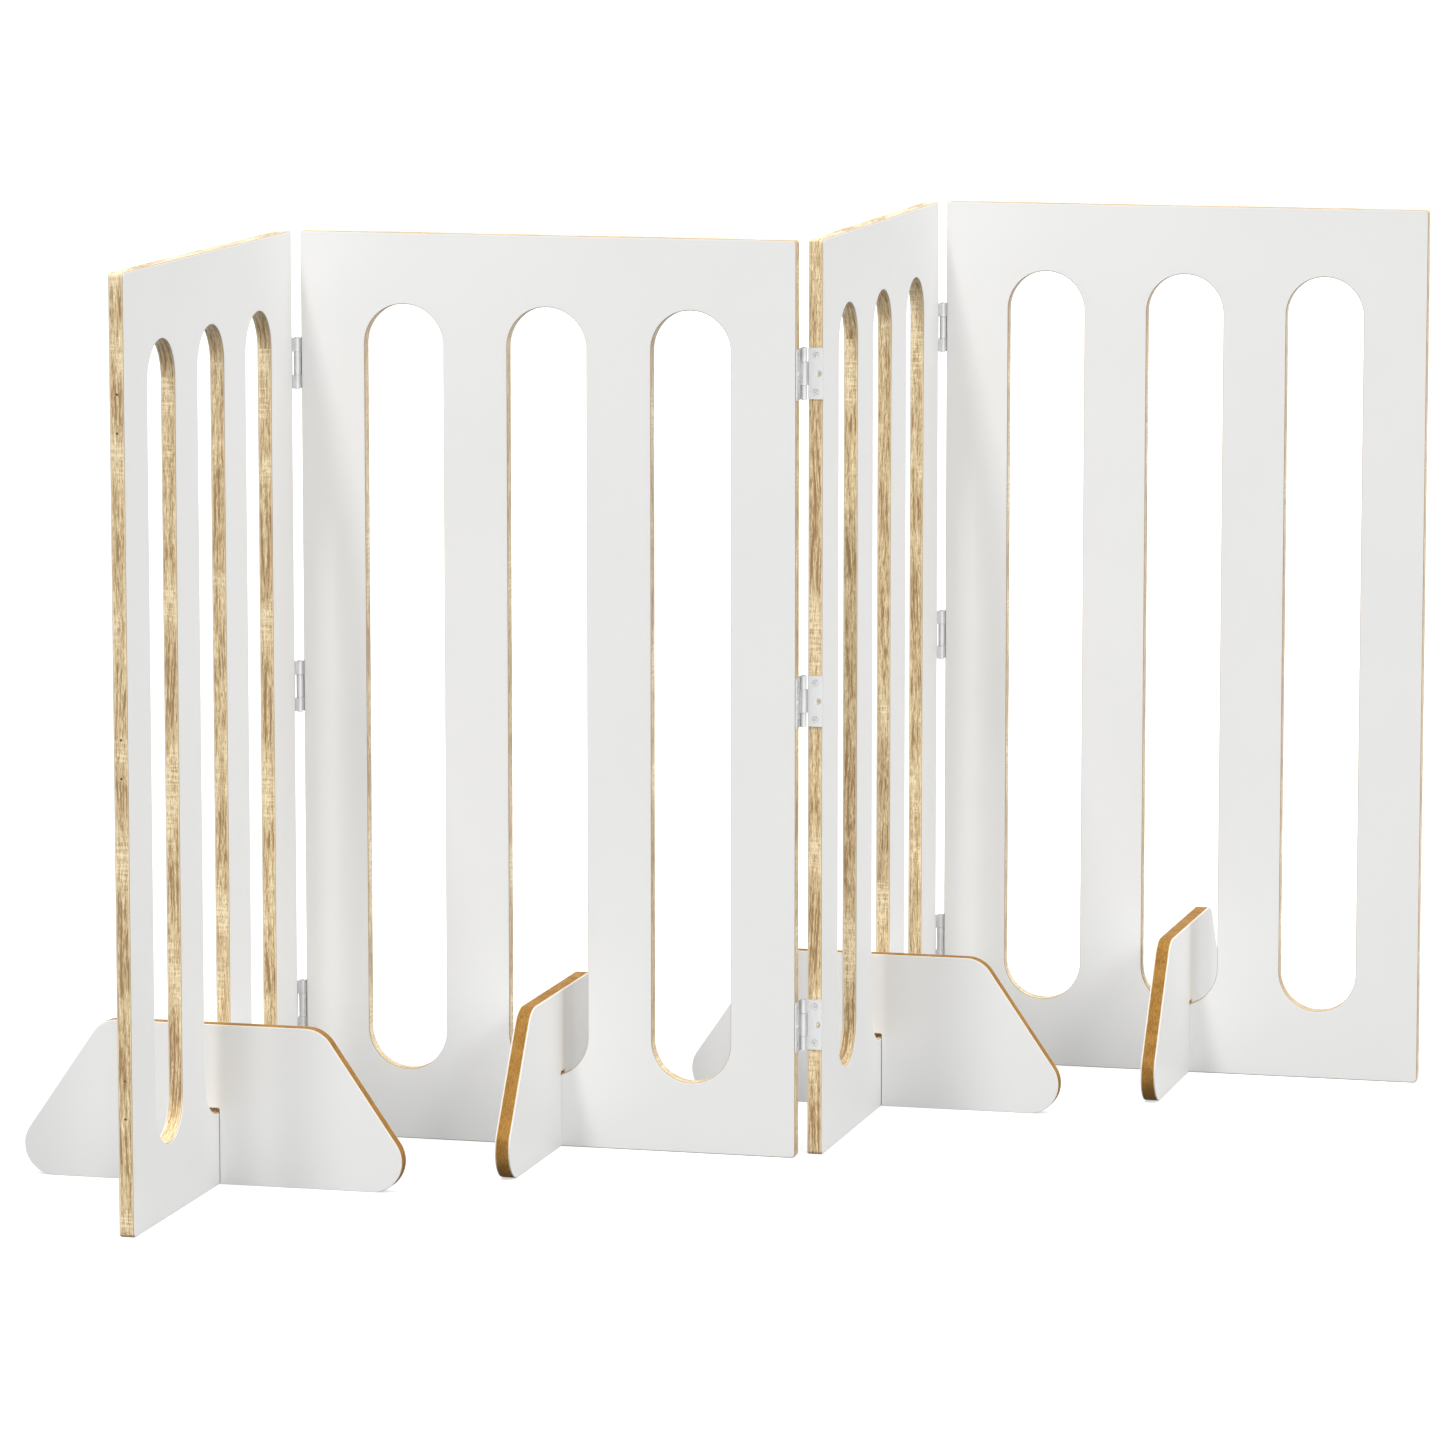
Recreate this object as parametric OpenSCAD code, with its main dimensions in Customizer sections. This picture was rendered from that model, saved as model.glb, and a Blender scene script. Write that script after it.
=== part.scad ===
// Free-standing folding pet gate: four slotted panels standing in a zig-zag, joined edge to
// edge by three butt hinges at each fold, with a loose cross foot straddling each bottom rail.
// +Z is up. Panels 2 and 4 run along +X, panels 1 and 3 run along +Y, and each fold is square.
// The origin is on the floor, under the middle of the gate.

/* [Panels] */
// Width of one panel
panel_w = 500; // [460:1:560]
// Height of one panel
panel_h = 900; // [860:1:1000]
// Thickness of one panel, laminates included
panel_t = 15; // [12:0.5:18]
// Radius of the panel's outer corners
corner_r = 4; // [2:0.5:10]
// Width of one upright slot
slot_w = 80; // [60:1:90]
// Height of the rails above and below the slots
rail_h = 70; // [60:1:72]
// Thickness of each white face laminate
laminate_t = 0.8; // [0.4:0.1:1.2]
// How far a laminate stops short of the board's edge
arris = 0.6; // [0.3:0.1:1]

/* [Feet] */
// Overall length of a foot
foot_l = 382; // [340:1:400]
// Height of a foot
foot_h = 156; // [150:1:170]
// Thickness of a foot, laminates included
foot_t = 15; // [12:0.5:18]
// Radius of the foot's four corners
foot_r = 30; // [20:1:34]
// Slope of the foot's ends above the floor, in degrees
foot_slope = 55.5; // [50:0.5:70]
// Height of the notch that straddles the bottom rail
notch_h = 74.5; // [74:0.5:80]
// Gap on each side between the notch and the panel
notch_play = 0.5; // [0.3:0.1:1]
// Where each foot stands along its panel, from the middle
foot_at = [8, 5, 10, 4]; // [-12:1:12]

/* [Hinges] */
// Height of a hinge leaf
hinge_h = 50; // [40:1:60]
// Width of a hinge laid open
hinge_open_w = 37; // [34:0.5:37]
// Thickness of a leaf
leaf_t = 1.2; // [1:0.1:1.6]
// Outside diameter of the barrel
barrel_d = 6.6; // [6:0.1:7]
// Gap between the barrel and the panel's face
barrel_gap = 0.4; // [0.3:0.1:1]
// Height of the middle knuckle
knuckle_h = 23; // [16:1:26]
// Heights of the hinges' middles above the floor
hinge_z = [130, 450, 770]; // [100:5:800]

/* [Screws] */
// Distance between a leaf's two screws
screw_spacing = 36; // [30:1:38]
// Diameter of a screw's head
screw_head_d = 6; // [5:0.1:6.4]
// Diameter of a screw's shank
shank_d = 3; // [2.8:0.1:3.5]
// Diameter of the unused pilot holes in the gate's two free edges
pilot_d = 2.5; // [2:0.1:2.7]
// Overall length of a screw
screw_l = 16; // [12:1:20]
// How far the spare middle hole is set outwards from the screw line
spare_hole_shift = 2.9; // [0:0.1:3]

/* [Hidden] */
$fn = 64;
eps = 0.01;

LAMINATE = [0.90, 0.90, 0.89];
OAK = [0.84, 0.76, 0.62];
FOOT_BROWN = [0.71, 0.54, 0.29];
ZINC = [0.80, 0.81, 0.82];
STEEL = [0.72, 0.73, 0.75];

// The board is what is left of the thickness between the two laminates.
panel_core_t = panel_t - 2 * laminate_t;
foot_core_t = foot_t - 2 * laminate_t;

// Three slots share the width with four equal uprights.
slot_count = 3;
slot_h = panel_h - 2 * rail_h;
upright_w = (panel_w - slot_count * slot_w) / (slot_count + 1);
slot_pitch = slot_w + upright_w;

// A foot's outline is carried by one circle in each corner.
foot_low_x = foot_l / 2 - foot_r;
foot_high_x = foot_low_x - (foot_h - 2 * foot_r) / tan(foot_slope);

// The barrel's axis stands one barrel radius past the panel's end, and past its face by the
// radius and the gap.
barrel_r = barrel_d / 2;
axis_u = barrel_r;
axis_v = barrel_r + barrel_gap;
fold = axis_u + axis_v;
leaf_w = hinge_open_w / 2;
knuckle_gap = 0.2;

// A leaf is rolled round the pin, so the pin fills what the rolled plate leaves.
pin_d = barrel_d - 2 * leaf_t;
pin_clearance = 0.05;
pin_head_h = 1;
pin_head_r = pin_d / 2 + 0.5;
pin_tip_r = pin_d / 2 - 0.3;

// Screws sit on the middle line of the board's edge.
screw_x = axis_v + panel_t / 2;
screw_seat_gap = 0.2;
head_sink = 0.05;
head_rise = (screw_head_d - shank_d) / 2;
hole_depth = screw_l - leaf_t + 0.2;
cross_w = 0.7;
cross_l = 3.4;
cross_depth = 0.8;

// Panels step to the right and to the back, one after another.
panel_at = [
    [-fold, -fold - panel_w],
    [0, 0],
    [panel_w + fold + panel_t, panel_t + fold],
    [panel_w + 2 * fold + panel_t, panel_t + 2 * fold + panel_w]
];
panel_turn = [90, 0, 90, 0];

// Barrel axes of the three folds, and how each fold's two kinds of leaf are turned.
fold_at = [
    [-axis_u, -axis_v],
    [panel_w + axis_u, panel_t + axis_v],
    [panel_w + fold + panel_t + axis_v, panel_t + fold + panel_w + axis_u]
];
fork_turn = [[0, 180, 0], [0, 0, -90], [0, 180, 0]];
tongue_turn = [[0, 0, 90], [180, 0, 0], [0, 0, 90]];

// The gate's middle, from the tips of its outermost feet and ends.
x_low = -fold - panel_t / 2 - foot_l / 2;
x_high = panel_at[3][0] + panel_w;
y_low = panel_at[0][1];
y_high = panel_at[3][1] + panel_t / 2 + foot_l / 2;
middle = [(x_low + x_high) / 2, (y_low + y_high) / 2];

PANELS = [1, 2, 3, 4];
FOLDS = ["12", "23", "34"];
LEVELS = ["bottom", "middle", "top"];
SIDES = [0, 1];

// ---- outlines -------------------------------------------------------------------------

// Rectangle with round corners, from exact squares and circles
module rounded_rectangle(w, h, r) {
    translate([r, 0]) square([w - 2 * r, h]);
    translate([0, r]) square([w, h - 2 * r]);
    for (x = [r, w - r], y = [r, h - r]) translate([x, y]) circle(r);
}

// Upright slot with half-round ends, centred on x = 0
module slot_outline(inset) {
    w = slot_w + 2 * inset;
    translate([-w / 2, rail_h + slot_w / 2]) square([w, slot_h - slot_w]);
    for (y = [rail_h + slot_w / 2, panel_h - rail_h - slot_w / 2])
        translate([0, y]) circle(d = w);
}

// Panel seen from the front: inset draws every edge back by that much
module panel_outline(inset = 0) {
    difference() {
        translate([inset, inset])
            rounded_rectangle(panel_w - 2 * inset, panel_h - 2 * inset, corner_r - inset);
        for (k = [0 : slot_count - 1])
            translate([upright_w + slot_w / 2 + k * slot_pitch, 0]) slot_outline(inset);
    }
}

// Foot seen square to its face: a trapezium with round corners and a notch below
module foot_outline(inset = 0) {
    r = foot_r - inset;
    side = [sin(foot_slope), cos(foot_slope)] * r;
    top_y = foot_h - foot_r;
    difference() {
        union() {
            for (s = [-1, 1]) {
                translate([s * foot_low_x, foot_r]) circle(r);
                translate([s * foot_high_x, top_y]) circle(r);
            }
            polygon([
                [-foot_low_x, inset],
                [foot_low_x, inset],
                [foot_low_x + side[0], foot_r + side[1]],
                [foot_high_x + side[0], top_y + side[1]],
                [foot_high_x, foot_h - inset],
                [-foot_high_x, foot_h - inset],
                [-foot_high_x - side[0], top_y + side[1]],
                [-foot_low_x - side[0], foot_r + side[1]]
            ]);
        }
        notch_half = panel_t / 2 + notch_play + inset;
        translate([-notch_half, -1]) square([2 * notch_half, notch_h + inset + 1]);
    }
}

// ---- places ---------------------------------------------------------------------------

// Stands a panel's own frame (x along it, y into it) in its place in the zig-zag
module on_panel(i) {
    translate([panel_at[i - 1][0] - middle[0], panel_at[i - 1][1] - middle[1], 0])
        rotate([0, 0, panel_turn[i - 1]]) children();
}

// Puts a hinge piece on fold f at the height of the given level, turned as told
module on_fold(f, level, turn) {
    translate([fold_at[f][0] - middle[0], fold_at[f][1] - middle[1], hinge_z[level]])
        rotate(turn) children();
}

// Slab of the given outline, standing in a panel's plane, from depth y for thickness t
module panel_slab(y, t) {
    translate([0, y + t, 0]) rotate([90, 0, 0]) linear_extrude(t) children();
}

// Slab of the given outline, standing square to panel i, from its foot's near face
module foot_slab(i, x, t) {
    translate([panel_w / 2 + foot_at[i - 1] - foot_t / 2 + x, panel_t / 2, 0])
        rotate([90, 0, 90]) linear_extrude(t) children();
}

// ---- panels ---------------------------------------------------------------------------

// Blind holes for hinge screws in one end of a board, from x to the right
module end_holes(x, d) {
    for (z = hinge_z, s = [-1, 1])
        translate([x, panel_t / 2, z + s * screw_spacing / 2]) rotate([0, 90, 0])
            cylinder(h = hole_depth + eps, d = d);
}

module panel_board(i) {
    color(OAK) on_panel(i) difference() {
        panel_slab(laminate_t, panel_core_t) panel_outline();
        end_holes(-eps, i == 1 ? pilot_d : shank_d);
        end_holes(panel_w - hole_depth, i == len(PANELS) ? pilot_d : shank_d);
    }
}

module panel_front_laminate(i) {
    color(LAMINATE) on_panel(i) panel_slab(0, laminate_t) panel_outline(arris);
}

module panel_back_laminate(i) {
    color(LAMINATE) on_panel(i)
        panel_slab(panel_t - laminate_t, laminate_t) panel_outline(arris);
}

// ---- feet -----------------------------------------------------------------------------

module foot_board(i) {
    color(FOOT_BROWN) on_panel(i) foot_slab(i, laminate_t, foot_core_t) foot_outline();
}

module foot_near_laminate(i) {
    color(LAMINATE) on_panel(i) foot_slab(i, 0, laminate_t) foot_outline(arris);
}

module foot_far_laminate(i) {
    color(LAMINATE) on_panel(i)
        foot_slab(i, foot_t - laminate_t, laminate_t) foot_outline(arris);
}

// ---- hinges ---------------------------------------------------------------------------
// A leaf's own frame: the barrel's axis is Z, the plate runs along +X and its wood side
// faces -Y, one barrel radius from the axis.

// Countersunk hole through the plate at (x, z)
module leaf_hole(x, z) {
    slope = head_rise / leaf_t;
    translate([x, -barrel_r - eps, z]) rotate([-90, 0, 0])
        cylinder(
            h = leaf_t + 2 * eps,
            r1 = shank_d / 2 + screw_seat_gap - slope * eps,
            r2 = screw_head_d / 2 + screw_seat_gap + slope * eps
        );
}

// Plate with its three holes, before the knuckles are cut and added
module leaf_plate() {
    difference() {
        translate([0, -barrel_r, -hinge_h / 2]) cube([leaf_w, leaf_t, hinge_h]);
        for (s = [-1, 1]) leaf_hole(screw_x, s * screw_spacing / 2);
        leaf_hole(screw_x + spare_hole_shift, 0);
    }
}

// Clears the plate beside the barrel between two heights, for the other leaf's knuckle
module knuckle_window(z, h) {
    translate([-1, -barrel_r - 1, z]) cube([axis_v + 1, leaf_t + 2, h]);
}

// Leaf with a knuckle at each end of the barrel: the pin is tight in it
module fork_leaf() {
    end_h = (hinge_h - knuckle_h - knuckle_gap) / 2;
    difference() {
        union() {
            difference() {
                leaf_plate();
                knuckle_window(-hinge_h / 2 + end_h, knuckle_h + knuckle_gap);
            }
            for (z = [-hinge_h / 2, hinge_h / 2 - end_h])
                translate([0, 0, z]) cylinder(h = end_h, r = barrel_r);
        }
        cylinder(h = hinge_h + 2, d = pin_d, center = true);
    }
}

// Leaf with the one middle knuckle: it turns on the pin
module tongue_leaf() {
    own_h = knuckle_h - knuckle_gap;
    window_h = (hinge_h - own_h) / 2;
    difference() {
        union() {
            difference() {
                leaf_plate();
                knuckle_window(-hinge_h / 2 - 1, window_h + 1);
                knuckle_window(hinge_h / 2 - window_h, window_h + 1);
            }
            cylinder(h = own_h, r = barrel_r, center = true);
        }
        cylinder(h = hinge_h, r = pin_d / 2 + pin_clearance, center = true);
    }
}

module hinge_fork_leaf(f, level) {
    color(ZINC) on_fold(f, level, fork_turn[f]) fork_leaf();
}

module hinge_tongue_leaf(f, level) {
    color(ZINC) on_fold(f, level, tongue_turn[f]) tongue_leaf();
}

// Pin with both ends spread over the knuckles
module hinge_pin(f, level) {
    color(STEEL) on_fold(f, level, [0, 0, 0]) {
        cylinder(h = hinge_h, d = pin_d, center = true);
        for (turn = [0, 180]) rotate([turn, 0, 0]) translate([0, 0, hinge_h / 2])
            cylinder(h = pin_head_h, r1 = pin_head_r, r2 = pin_tip_r);
    }
}

// ---- screws ---------------------------------------------------------------------------

// One countersunk cross-head screw in a leaf's frame, at height z
module screw(z) {
    head_h = leaf_t - head_sink;
    translate([screw_x, -barrel_r, z]) rotate([-90, 0, 0]) difference() {
        union() {
            translate([0, 0, leaf_t - screw_l]) cylinder(h = screw_l - leaf_t, d = shank_d);
            cylinder(h = head_h, r1 = shank_d / 2, r2 = shank_d / 2 + head_rise * head_h / leaf_t);
        }
        for (turn = [0, 90]) rotate([0, 0, turn]) translate([0, 0, head_h])
            cube([cross_l, cross_w, 2 * cross_depth], center = true);
    }
}

// The six screws that hold one fold's leaves to one of its two panels
module hinge_screws(f, side) {
    turn = side == 0 ? fork_turn[f] : tongue_turn[f];
    color(STEEL) for (level = [0 : 2]) on_fold(f, level, turn)
        for (s = [-1, 1]) screw(s * screw_spacing / 2);
}

// ---- the parts ------------------------------------------------------------------------

for (i = PANELS) panel_board(i);
for (i = PANELS) panel_front_laminate(i);
for (i = PANELS) panel_back_laminate(i);
for (i = PANELS) foot_board(i);
for (i = PANELS) foot_near_laminate(i);
for (i = PANELS) foot_far_laminate(i);
for (f = [0 : 2], k = [0 : 2])
    hinge_fork_leaf(f, k);
for (f = [0 : 2], k = [0 : 2])
    hinge_tongue_leaf(f, k);
for (f = [0 : 2], k = [0 : 2])
    hinge_pin(f, k);
for (f = [0 : 2], side = SIDES)
    hinge_screws(f, side);
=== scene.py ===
"""Looks of the folding pet gate: edged boards, white skins, feet, butt hinges, pins and screws.

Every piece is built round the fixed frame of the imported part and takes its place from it.
"""

import math

import bmesh
import bpy
import numpy as np
from bpy.props import FloatProperty, FloatVectorProperty, PointerProperty
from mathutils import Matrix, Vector


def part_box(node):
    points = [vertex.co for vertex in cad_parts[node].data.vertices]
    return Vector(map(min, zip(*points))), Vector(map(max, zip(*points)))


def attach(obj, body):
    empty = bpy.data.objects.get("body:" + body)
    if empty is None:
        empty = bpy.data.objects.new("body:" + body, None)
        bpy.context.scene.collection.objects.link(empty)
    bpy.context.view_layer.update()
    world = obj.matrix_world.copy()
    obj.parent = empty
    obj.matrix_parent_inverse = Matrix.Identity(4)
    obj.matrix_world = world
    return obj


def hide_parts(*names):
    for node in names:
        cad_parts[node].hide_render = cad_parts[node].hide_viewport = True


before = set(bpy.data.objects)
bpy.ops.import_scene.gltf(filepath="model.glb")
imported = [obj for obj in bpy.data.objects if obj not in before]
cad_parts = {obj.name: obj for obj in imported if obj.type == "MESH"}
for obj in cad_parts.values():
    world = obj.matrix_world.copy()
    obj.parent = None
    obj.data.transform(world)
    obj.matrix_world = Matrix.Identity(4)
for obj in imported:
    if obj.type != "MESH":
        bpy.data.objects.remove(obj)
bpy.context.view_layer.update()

bl_info = {
    "name": "Folding pet gate",
    "version": (1, 0, 0),
    "blender": (4, 5, 0),
    "location": "View3D > Sidebar > Gate",
    "description": "Builds the visible pieces of a folding pet gate round its packed frame",
    "category": "Add Mesh",
}

MM = 0.001
UP = np.array([0.0, 0.0, 1.0])
PANELS = (1, 2, 3, 4)
FOLDS = ("12", "23", "34")
LEVELS = ("bottom", "middle", "top")

SHARP_EDGE = math.radians(35)  # faces that meet at more than this keep a sharp edge
EDGE_SUPPORT = 0.5 * MM  # how far past a board's rounded edge its flat's first row lies
FOOT_SLOPE = math.radians(55.5)  # angle of a foot's ends
NOTCH_MOUTH, NOTCH_ROOT = 1.2 * MM, 1.8 * MM  # radii of a foot notch's lower and upper corners
KNUCKLE_SEAM = math.radians(2.5)  # opening left where a knuckle's roll ends at its strap

# Where a piece's edge starts along the grain, in metres, so that no two look alike
PANEL_GRAIN_STEP, FOOT_GRAIN_STEP = 1.7, 0.9
SLOT_GRAIN_START, SLOT_GRAIN_STEP = 2.3, 1.9

# How far each screw is turned, in radians: a first turn, then more for each panel and screw
FIRST_TURN, PANEL_TURN, SCREW_TURN = 0.35, 1.1, 2.4

SKY = 0.75  # strength of the white sky where it lights a surface
FLOOR_BOUNCE = 0.07  # how much of the light on the floor comes back up from it
SUNS = {  # name: (direction towards it, strength, apparent width in degrees, casts shadows)
    "key": ((-0.2, -0.55, 1.0), 1.5, 8.0, True),
    "side": ((0.86, -1.0, 0.65), 0.32, 9.0, True),
    "fill_front": ((0.0, -1.0, 0.6), 0.6, 30.0, False),
    "fill_right": ((1.0, -0.15, 0.6), 1.3, 40.0, True),
    "fill_left": ((-1.0, 0.15, 0.6), 1.1, 40.0, True),
    "fill_back": ((0.0, 1.0, 0.6), 1.0, 40.0, False),
}


# ---- the sizes and colours a user would change ----------------------------------------


def size(name, description, default_mm):
    """A length in metres, given here in millimetres."""
    return FloatProperty(
        name=name, description=description, default=default_mm * MM, min=0,
        precision=5, unit="LENGTH", subtype="DISTANCE",
    )


def colour(name, description, default):
    """A colour of three channels."""
    return FloatVectorProperty(
        name=name, description=description, default=default, size=3, min=0, max=1,
        subtype="COLOR",
    )


class GateSizes(bpy.types.PropertyGroup):
    """Sizes of the details that the frame's boxes don't give"""

    slot_width: size("Slot width", "Width of each upright slot in a panel", 80)
    rail_height: size("Rail height", "Height of a panel's top and bottom rails", 70)
    corner_radius: size("Corner radius", "Radius of a panel's outer corners", 4)
    edge_rounding: size("Edge rounding", "Rounding along a board's edges", 0.45)
    skin_rounding: size("Skin rounding", "Rounding along a white skin's edges", 0.22)
    skin_inset: size("Skin inset", "How far a panel's skin stops short of its board", 0.6)
    foot_skin_inset: size("Foot skin inset", "How far a foot's skin stops short of it", 0.2)
    foot_rounding: size("Foot rounding", "Rounding along a foot's edges", 0.3)
    pilot_diameter: size("Pilot hole", "Diameter of the unused pilot holes", 2.5)
    pilot_depth: size("Pilot depth", "Depth of the unused pilot holes", 15)
    foot_radius: size("Foot radius", "Radius of a foot's four corners", 30)
    notch_height: size("Notch height", "Height of the notch in a foot", 74.5)
    notch_play: size("Notch play", "Gap between the notch and the panel", 0.5)
    leaf_thickness: size("Leaf thickness", "Thickness of a hinge leaf", 1.2)
    leaf_rounding: size("Leaf rounding", "Rounding along a leaf's edges", 0.18)
    barrel_gap: size("Barrel gap", "Gap between a barrel and the panel's face", 0.4)
    knuckle_gap: size("Knuckle gap", "Gap between two knuckles, both ends together", 0.2)
    middle_knuckle: size("Middle knuckle", "Height of the middle knuckle's room", 23)
    screw_spacing: size("Screw spacing", "Distance between a leaf's two screws", 36)
    spare_shift: size("Spare hole shift", "How far the middle hole is set outwards", 2.9)
    shank_diameter: size("Screw shank", "Diameter of a screw's shank", 3)
    head_diameter: size("Screw head", "Diameter of a screw's head", 6)
    screw_length: size("Screw length", "Length of a screw", 16)


class GateColours(bpy.types.PropertyGroup):
    """Base colours of the finishes"""

    skin: colour("Skin", "White of the panels and feet", (0.800, 0.800, 0.792))
    oak: colour("Oak", "Middle tone of the oak edge", (0.675, 0.520, 0.295))
    oak_dark: colour("Oak streaks", "Dark streaks in the oak edge", (0.315, 0.195, 0.090))
    oak_border: colour("Oak border", "Pale lines beside the skins", (0.900, 0.770, 0.520))
    fibre: colour("Fibreboard", "Middle tone of a foot's edge", (0.360, 0.190, 0.042))
    fibre_dark: colour("Fibre shade", "Dark fibres of a foot's edge", (0.215, 0.100, 0.022))
    fibre_border: colour("Fibre border", "Pale lines on a foot's edge", (0.700, 0.600, 0.440))
    zinc: colour("Zinc", "Plated hinge leaves", (0.660, 0.663, 0.667))
    steel: colour("Steel", "Hinge pins", (0.620, 0.625, 0.630))
    screw: colour("Screw", "Plated screws", (0.600, 0.600, 0.595))
    floor: colour("Floor", "Pale floor", (0.600, 0.600, 0.600))


# ---- places ---------------------------------------------------------------------------


def corners(node):
    """Lowest and highest corner of a frame node, as arrays."""
    return tuple(np.array(c, float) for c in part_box(node))


def centre(node):
    """Middle of a frame node's box."""
    return sum(corners(node)) / 2


def main_direction(vector):
    """The row axis nearest to a direction, as a unit vector in the plan."""
    flat = np.array([vector[0], vector[1], 0.0])
    k = int(np.argmax(np.abs(flat)))
    return np.sign(flat[k]) * np.eye(3)[k]


class Place:
    """A piece's own frame: point = origin + across x along + depth x into + height x up"""

    def __init__(self, origin, along, into, up=UP):
        self.origin, self.axes = np.array(origin, float), np.array([along, into, up])

    def points(self, local):
        """Points of an (..., 3) array of (across, depth, height), in the row frame."""
        return self.origin + local @ self.axes

    def reach(self, node, axis):
        """Least and greatest place of a node's box along one of the three axes."""
        ends = [(c - self.origin) @ self.axes[axis] for c in corners(node)]
        return min(ends), max(ends)


def slab_place(front, board):
    """Frame of a panel or foot: depth runs from the front skin's outer face into the board,
    across starts at the board's end, height at the floor."""
    into = main_direction(centre(board) - centre(front))
    along = np.array([into[1], -into[0], 0.0])
    if along.sum() < 0:
        along = -along
    place = Place([0, 0, 0], along, into)
    place.origin = place.reach(board, 0)[0] * along + place.reach(front, 1)[0] * into
    return place


def leaf_place(leaf, pin, board):
    """Frame of a leaf: the origin is the barrel's middle, across runs out along the plate,
    and depth runs towards the wood."""
    origin = centre(pin)
    along = main_direction(centre(leaf) - origin)
    side = np.array([-along[1], along[0], 0.0])
    into = side * np.sign((centre(board) - origin) @ side)
    return Place(origin, along, into)


def hinge_leaves(fold):
    """(leaf node, pin node, panel number, kind) of the six leaves at one fold."""
    return [
        (f"hinge_{fold}_{level}_{kind}_leaf", f"hinge_{fold}_{level}_pin", int(n), kind)
        for kind, n in zip(("fork", "tongue"), fold)
        for level in LEVELS
    ]


# ---- surfaces -------------------------------------------------------------------------


class Shell:
    """Grids and caps gathered into one mesh"""

    def __init__(self):
        self.points, self.faces, self.uvs, self.count = [], [], [], 0

    def add(self, points):
        """Keeps points and gives their numbers in the mesh."""
        flat = points.reshape(-1, 3)
        numbers = np.arange(len(flat)) + self.count
        self.points.append(flat)
        self.count += len(flat)
        return numbers.reshape(points.shape[:-1])

    def grid(self, points, uv=None, close_rows=False, close_columns=False, keep=None):
        """Quads between the neighbours of a (rows, columns, 3) array. The last row or column
        joins the first where the grid closes, and keep picks the quads that stay."""
        n = self.add(points)
        n = np.concatenate([n, n[:1]], 0) if close_rows else n
        n = np.concatenate([n, n[:, :1]], 1) if close_columns else n
        uv = np.zeros(n.shape + (2,)) if uv is None else uv
        quads, uvs = (
            np.stack([a[:-1, :-1], a[:-1, 1:], a[1:, 1:], a[1:, :-1]], 2) for a in (n, uv)
        )
        keep = np.ones(quads.shape[:2], bool) if keep is None else keep
        self.faces += quads[keep].tolist()
        self.uvs.append(uvs[keep].reshape(-1, 2))

    def cap(self, points, uv):
        """One flat face round a closed outline."""
        self.faces.append(self.add(points).tolist())
        self.uvs.append(uv)

    def copies(self, places):
        """The same surface set down at each of several frames."""
        made = Shell()
        points = np.concatenate(self.points)
        for place in places:
            made.faces += [[i + made.count for i in face] for face in self.faces]
            made.add(place.points(points))
            made.uvs += self.uvs
        return made

    def mesh(self, name):
        """The mesh, with doubles merged, nothing loose, faces outwards and edges over
        35 degrees sharp."""
        mesh = bpy.data.meshes.new(name)
        mesh.from_pydata(np.concatenate(self.points).tolist(), [], self.faces)
        layer = mesh.uv_layers.new(name="Edge")
        layer.data.foreach_set("uv", np.concatenate(self.uvs).astype(np.float32).ravel())
        tidy(mesh)
        return mesh


def tidy(mesh):
    """Merges doubles, drops what is loose or flat, turns faces outwards and marks sharp edges."""
    bm = bmesh.new()
    bm.from_mesh(mesh)
    bmesh.ops.remove_doubles(bm, verts=bm.verts, dist=1e-6)
    bmesh.ops.dissolve_degenerate(bm, edges=bm.edges, dist=1e-7)
    bmesh.ops.delete(bm, geom=[e for e in bm.edges if not e.link_faces], context="EDGES")
    bmesh.ops.delete(bm, geom=[v for v in bm.verts if not v.link_edges], context="VERTS")
    bmesh.ops.recalc_face_normals(bm, faces=bm.faces)
    bm.to_mesh(mesh)
    bm.free()
    mesh.shade_smooth()
    mesh.set_sharp_from_angle(angle=SHARP_EDGE)


def place_piece(shell, name, material, body, slot, *stands_for):
    """Puts a mesh or shell in the scene as a named piece that rides on a body."""
    mesh = shell.mesh(name) if isinstance(shell, Shell) else shell
    piece = bpy.data.objects.new(name, mesh)
    bpy.context.scene.collection.objects.link(piece)
    mesh.materials.clear()
    mesh.materials.append(material)
    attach(piece, body)
    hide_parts(*stands_for)
    return piece


def rounding(radius, support, steps=3):
    """(inset, rise) of a rounded edge, from the wall to the flat: a quarter circle, then one
    more row on the flat that keeps its shading even."""
    angle = np.linspace(0, math.pi / 2, steps + 1)
    arc = radius * np.stack([1 - np.cos(angle), 1 - np.sin(angle)], 1)
    return np.concatenate([arc, [[radius + support, 0.0]]])


def wall_rows(low, high, radius, support, inset=0.0):
    """(inset, depth) across an edge: rounded at depth low, straight, rounded at depth high."""
    bend = rounding(radius, support)
    first = bend[::-1] + [inset, low]
    last = bend * [1, -1] + [inset, high]
    return np.concatenate([first, last])


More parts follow.
